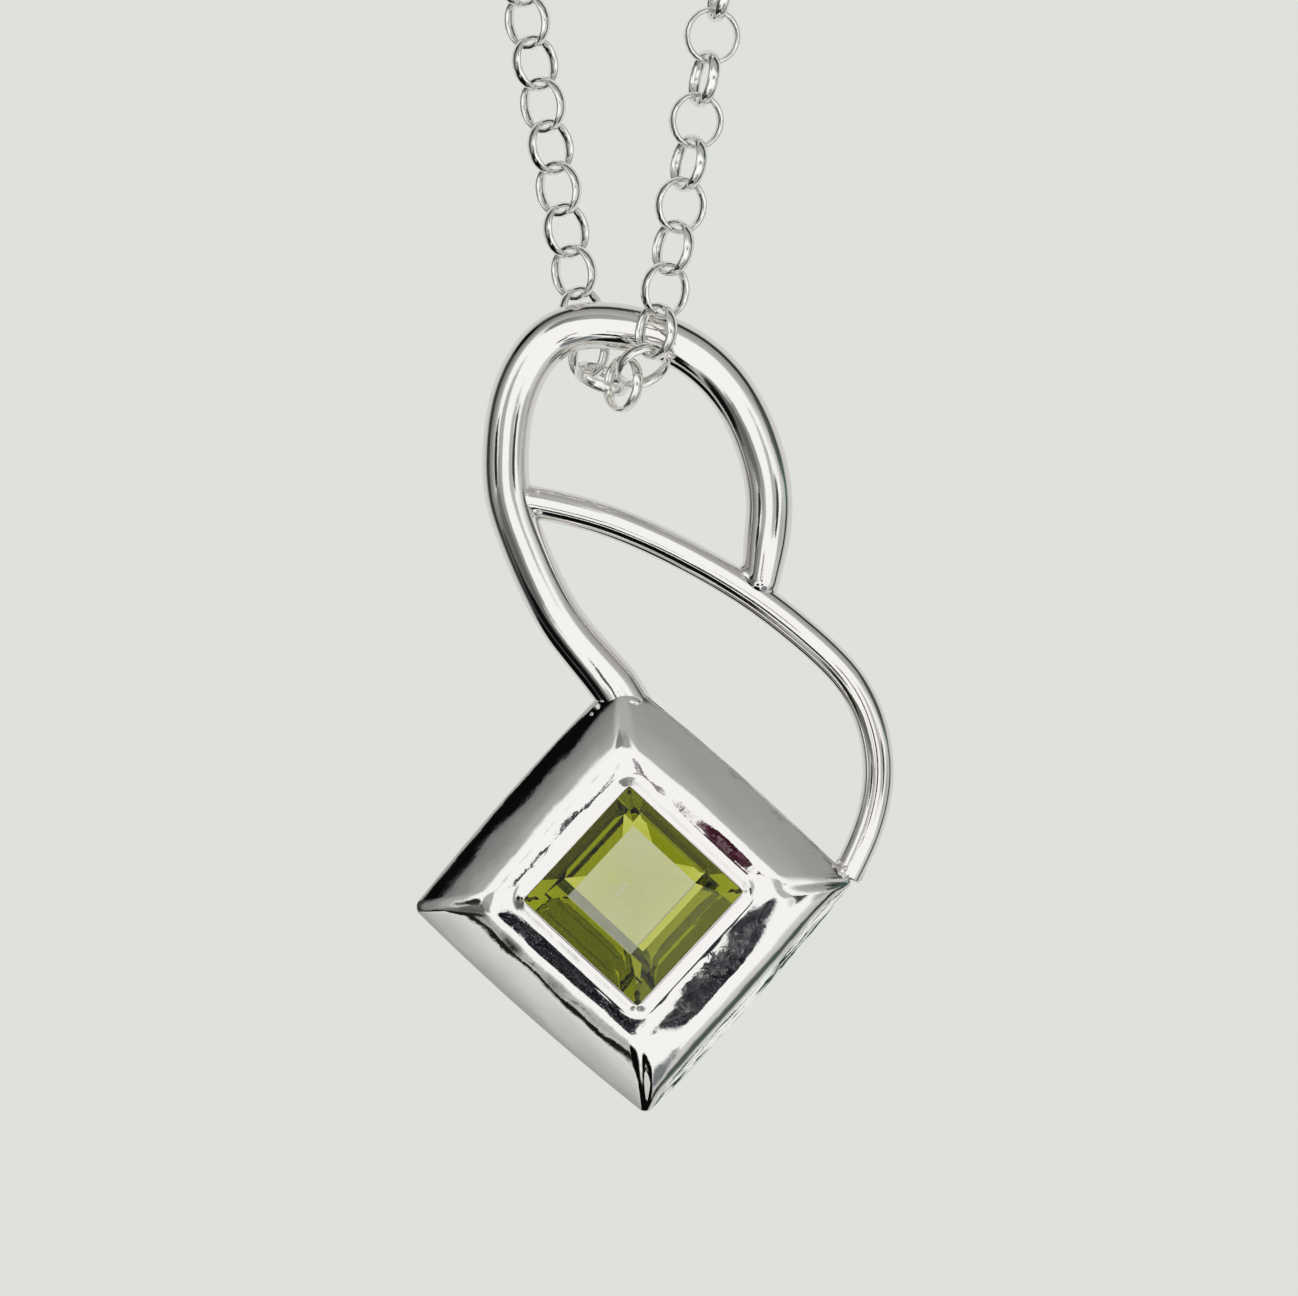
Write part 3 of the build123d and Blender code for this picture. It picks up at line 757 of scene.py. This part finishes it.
lower_left, lower_right = 225 + setting_turn, 315 + setting_turn
upright = [(11.5, -4.4), (11.5, 6.0)]     # from in front of the silver to behind it
flat_behind = [(24.0, 7.5), (8.5, 7.5)]   # lies parallel to the setting
lit_card("pale_card", beside_setting(lower_left, upright, (-7.5, 7.5)), pale_with_dark_edge)
lit_card("speckled_card", beside_setting(lower_right, flat_behind, (-8.0, 8.0)), speckled)
behind_half, behind_y = 15, 20.0
behind_corners = [[(setting_middle[0] + x, behind_y, setting_middle[1] + z)
                   for x in (-behind_half, behind_half)] for z in (-behind_half, behind_half)]
behind_stone = lit_card("card_behind_stone", behind_corners, white)
behind_stone.visible_glossy = False
behind_stone.visible_transmission = True
FRONT_PATCHES = [  # side, round, way out and along, half sizes, colours, where white begins
    ("lower_left", 225, 8.8, 1.2, (7.0, 5.8), "08070B", "3C3C4A", 0.66),
    ("lower_right", 315, 10.4, -0.3, (4.8, 6.8), "08070C", "50525F", 0.65),
    ("upper_right", 45, 8.0, -2.3, (2.7, 2.8), "2E0718", "6B3A50", 0.66),
    ("upper_right_thin", 45, 7.3, 2.0, (1.9, 3.6), "463C48", "8C8290", 0.58),
    ("upper_left_line", 135, 7.3, 0.4, (0.9, 5.4), "1A1A20", "55555F", 0.62),
    ("upper_left", 135, 6.4, -1.6, (1.7, 1.7), "242834", "7A8494", 0.60),
]
card_y, card_apart = -25.0, 0.4
card_margin = 1.3        # a card's size, in sizes of its dark patch
for name, side, out, along, size, dark, pale, white_from in FRONT_PATCHES:
    side += setting_turn
    card_y -= card_apart
    colour_of = crumpled(side, out, along, size, dark, pale, white_from)
    rows = [(out - card_margin * size[0], card_y), (out + card_margin * size[0], card_y)]
    columns = (along - card_margin * size[1], along + card_margin * size[1])
    lit_card("crumpled_card_" + name, beside_setting(side, rows, columns), colour_of)


# Light: a white tent in front of the pendant, a pale table behind it, and the dark rim of the
# room between them, wider on the left. Directions are angles from the way to the viewer and
# round it, 0 to the right and 90 up.
world = bpy.data.worlds.new("light_tent")
bpy.context.scene.world = world
world.use_nodes = True
tree = world.node_tree
tree.nodes.clear()
way = node(tree, "ShaderNodeTexCoord").outputs["Generated"]


def toward(away_degrees, round_degrees):
    """Unit direction: minus the cosine of the angle from the viewer along Y, and its sine turned
    round in the picture's plane."""
    a, r = np.radians(away_degrees), np.radians(round_degrees)
    return (float(np.sin(a) * np.cos(r)), float(-np.cos(a)), float(np.sin(a) * np.sin(r)))


def near_way(direction):
    """Cosine of the angle between the looked-at direction and a given one."""
    near = node(tree, "ShaderNodeVectorMath", {"operation": "DOT_PRODUCT"}, i0=way, i1=direction)
    return near.outputs["Value"]


def ramp(cosine, stops):
    """Grey over the angle from the viewer, its stops in degrees and grey levels: a place on the
    colour ramp is half of one minus the cosine."""
    place = node(tree, "ShaderNodeMapRange", Value=cosine, From_Min=1.0, From_Max=-1.0)
    stops = [((1 - np.cos(np.radians(degrees))) / 2, (grey, grey, grey, 1))
             for degrees, grey in stops]
    return colour_stops(tree, place.outputs[0], stops, "EASE")


def blend(factor, below, above):
    """The colour below where the factor is 0, the one above where it is 1."""
    mix = node(tree, "ShaderNodeMix", {"data_type": "RGBA"}, i0=factor, i6=below, i7=above)
    return mix.outputs[2]


def patch(direction, inner, outer, crumble):
    """1 inside an angle from a direction, 0 beyond the outer one, its edge broken by noise."""
    value = near_way(toward(*direction))
    if crumble:
        value = node(tree, "ShaderNodeMath", {"operation": "MULTIPLY_ADD"},
                     i0=crumbs, i1=crumble, i2=value).outputs[0]
    far, near = (float(np.cos(np.radians(degrees))) for degrees in (outer, inner))
    return node(tree, "ShaderNodeMapRange", {"interpolation_type": "SMOOTHSTEP"},
                Value=value, From_Min=far, From_Max=near).outputs[0]


noise = node(tree, "ShaderNodeTexNoise", Vector=way, Scale=14.0, Detail=4.0, Roughness=0.65)
crumbs = node(tree, "ShaderNodeMath", {"operation": "SUBTRACT"},
              i0=noise.outputs["Fac"], i1=0.5).outputs[0]
# angle from the viewer and grey level: white tent, dim tent, dark rim of the room, table
LOW_RIM = [
    (0, 1.0), (58, 1.0), (66, 0.66), (84, 0.52), (92, 0.03),
    (97, 0.03), (103, 0.5), (118, 0.66), (180, 0.68),
]
UP_RIM = [
    (0, 1.0), (40, 1.0), (52, 0.45), (82, 0.34), (88, 0.03),
    (101, 0.03), (107, 0.5), (120, 0.66), (180, 0.68),
]
LEFT_RIM = [
    (0, 1.0), (52, 1.0), (62, 0.42), (77, 0.25), (83, 0.20),
    (88, 0.05), (103, 0.04), (110, 0.42), (125, 0.66), (180, 0.68),
]
front = near_way(toward(0, 0))
upper = node(tree, "ShaderNodeMapRange", {"interpolation_type": "SMOOTHSTEP"},
             Value=near_way(toward(90, 85)), From_Min=0.15, From_Max=0.6).outputs[0]
left_side = node(tree, "ShaderNodeMapRange", {"interpolation_type": "SMOOTHSTEP"},
                 Value=near_way(toward(90, 165)), From_Min=0.35, From_Max=0.75).outputs[0]
light = blend(upper, ramp(front, LOW_RIM), ramp(front, UP_RIM))
light = blend(left_side, light, ramp(front, LEFT_RIM))
# shapes of the room: direction, inner and outer angle, colour, strength, how broken the edge is
PATCHES = [
    ((60, 211), 11, 22, "6A6D6B", 0.95, 0.02),
    ((97, 138), 9, 12, "0A0A0A", 1.0, 0.03),
    ((62, 288), 11, 19, "70767A", 0.95, 0.05),
    ((66, 352), 6, 14, "A4AAA7", 0.8, 0.0),
    ((50, 178), 5, 9, "2A2E2C", 1.0, 0.02),
    ((88, 252), 22, 29, "0B0B0B", 1.0, 0.05),
    ((34, 194), 8, 13, "7C7C78", 0.9, 0.02),
    ((48, 198), 8, 13, "5A5C5A", 0.9, 0.02),
    ((44, 112), 8, 12, "707270", 0.9, 0.02),
    ((84, 22), 8, 14, "4A524E", 0.9, 0.04),
    ((94, 312), 10, 15, "4E5A54", 0.9, 0.04),
    ((27, 172), 8, 13, "9A9C99", 0.85, 0.03),
    ((25, 6), 6, 12, "A8AAA7", 0.85, 0.03),
    ((40, 92), 8, 14, "8C8E8C", 0.85, 0.02),
    ((76, 212), 8, 15, "0C100F", 1.0, 0.03),
    ((62, 248), 11, 16, "0A0A0A", 1.0, 0.02),
    ((66, 216), 7, 12, "0A0A0A", 0.9, 0.02),
    ((108, 232), 20, 26, "0A0A0A", 1.0, 0.02),
    ((40, 0), 4, 9, "3A403E", 1.0, 0.02),
    ((92, 8), 5, 10, "3F8F80", 0.30, 0.0),
    ((178, 0), 3, 7, "FFFFFF", 1.0, 0.0),
]
for direction, inner, outer, colour, strength, crumble in PATCHES:
    factor = patch(direction, inner, outer, crumble)
    factor = node(tree, "ShaderNodeMath", {"operation": "MULTIPLY"}, i0=factor, i1=strength)
    light = blend(factor.outputs[0], light, linear(colour))
reflected = node(tree, "ShaderNodeBackground", Color=light, Strength=1.0)
backdrop = node(tree, "ShaderNodeBackground", Color=linear("DFE1DB"), Strength=1.0)
seen = node(tree, "ShaderNodeLightPath").outputs["Is Camera Ray"]
both = node(tree, "ShaderNodeMixShader",
            i0=seen, i1=reflected.outputs[0], i2=backdrop.outputs[0])
output = node(tree, "ShaderNodeOutputWorld")
tree.links.new(both.outputs[0], output.inputs["Surface"])
